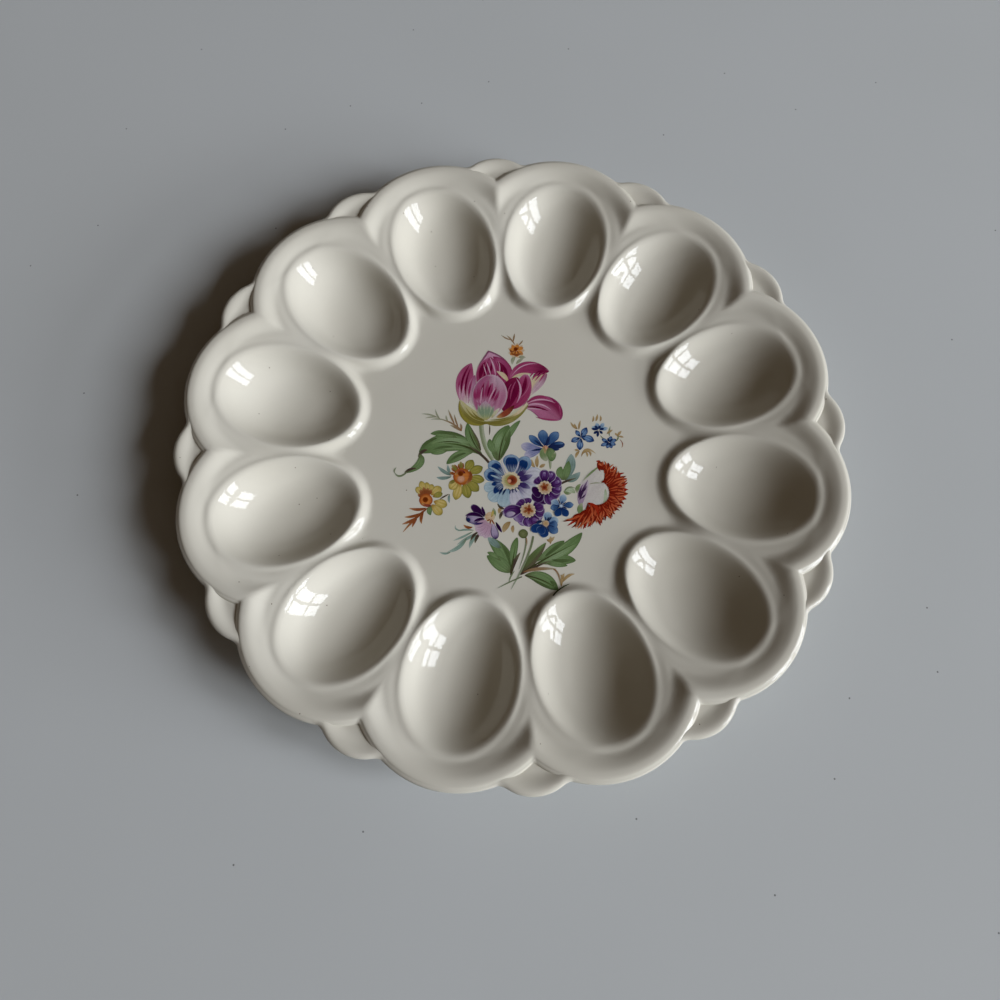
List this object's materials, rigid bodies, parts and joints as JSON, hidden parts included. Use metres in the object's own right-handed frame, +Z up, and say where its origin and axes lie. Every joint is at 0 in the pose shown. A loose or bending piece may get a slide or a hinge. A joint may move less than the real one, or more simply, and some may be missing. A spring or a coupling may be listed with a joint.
{
  "type": "deviled egg platter",
  "caption": "Round lobed earthenware platter with a ring of egg-shaped wells, small petals in the rim's notches, a foot ring and a printed flower spray on its flat floor.",
  "frame": {"origin": "on the table, under the middle of the platter", "axes": "+Z up out of the platter's face, +Y towards the rim petal that the printed spray points to, +X to the right of the spray"},
  "size_m": [0.2554, 0.2554, 0.023],
  "materials": {
    "glazed_earthenware": "clear gloss glaze over ivory slip-cast earthenware",
    "bare_earthenware": "dry, wiped foot with no glaze",
    "print_tulip": "fired overglaze enamel print",
    "print_tulip_stem": "fired overglaze enamel print",
    "print_leaf_left": "fired overglaze enamel print",
    "print_leaf_right": "fired overglaze enamel print",
    "print_top_flower": "fired overglaze enamel print",
    "print_fern_left": "fired overglaze enamel print",
    "print_anemone": "fired overglaze enamel print",
    "print_primrose_upper": "fired overglaze enamel print",
    "print_primrose_lower": "fired overglaze enamel print",
    "print_floret_right": "fired overglaze enamel print",
    "print_floret_low": "fired overglaze enamel print",
    "print_cornflower": "fired overglaze enamel print",
    "print_forget_me_nots": "fired overglaze enamel print",
    "print_carnation": "fired overglaze enamel print",
    "print_leaf_side": "fired overglaze enamel print",
    "print_daisy_upper": "fired overglaze enamel print",
    "print_daisy_lower": "fired overglaze enamel print",
    "print_lilac": "fired overglaze enamel print",
    "print_fern_low": "fired overglaze enamel print",
    "print_bud": "fired overglaze enamel print",
    "print_leaf_low_left": "fired overglaze enamel print",
    "print_leaf_low_right": "fired overglaze enamel print",
    "print_leaf_tail": "fired overglaze enamel print"
  },
  "bodies": {
    "root": {"platter_body": "glazed_earthenware", "foot_ring": "bare_earthenware", "petal_01": "glazed_earthenware", "petal_02": "glazed_earthenware", "petal_03": "glazed_earthenware", "petal_04": "glazed_earthenware", "petal_05": "glazed_earthenware", "petal_06": "glazed_earthenware", "petal_07": "glazed_earthenware", "petal_08": "glazed_earthenware", "petal_09": "glazed_earthenware", "petal_10": "glazed_earthenware", "petal_11": "glazed_earthenware", "petal_12": "glazed_earthenware", "print_tulip": "print_tulip", "print_tulip_stem": "print_tulip_stem", "print_leaf_left": "print_leaf_left", "print_leaf_right": "print_leaf_right", "print_top_flower": "print_top_flower", "print_fern_left": "print_fern_left", "print_anemone": "print_anemone", "print_primrose_upper": "print_primrose_upper", "print_primrose_lower": "print_primrose_lower", "print_floret_right": "print_floret_right", "print_floret_low": "print_floret_low", "print_cornflower": "print_cornflower", "print_forget_me_nots": "print_forget_me_nots", "print_carnation": "print_carnation", "print_leaf_side": "print_leaf_side", "print_daisy_upper": "print_daisy_upper", "print_daisy_lower": "print_daisy_lower", "print_lilac": "print_lilac", "print_fern_low": "print_fern_low", "print_bud": "print_bud", "print_leaf_low_left": "print_leaf_low_left", "print_leaf_low_right": "print_leaf_low_right", "print_leaf_tail": "print_leaf_tail"}
  },
  "joints": []
}
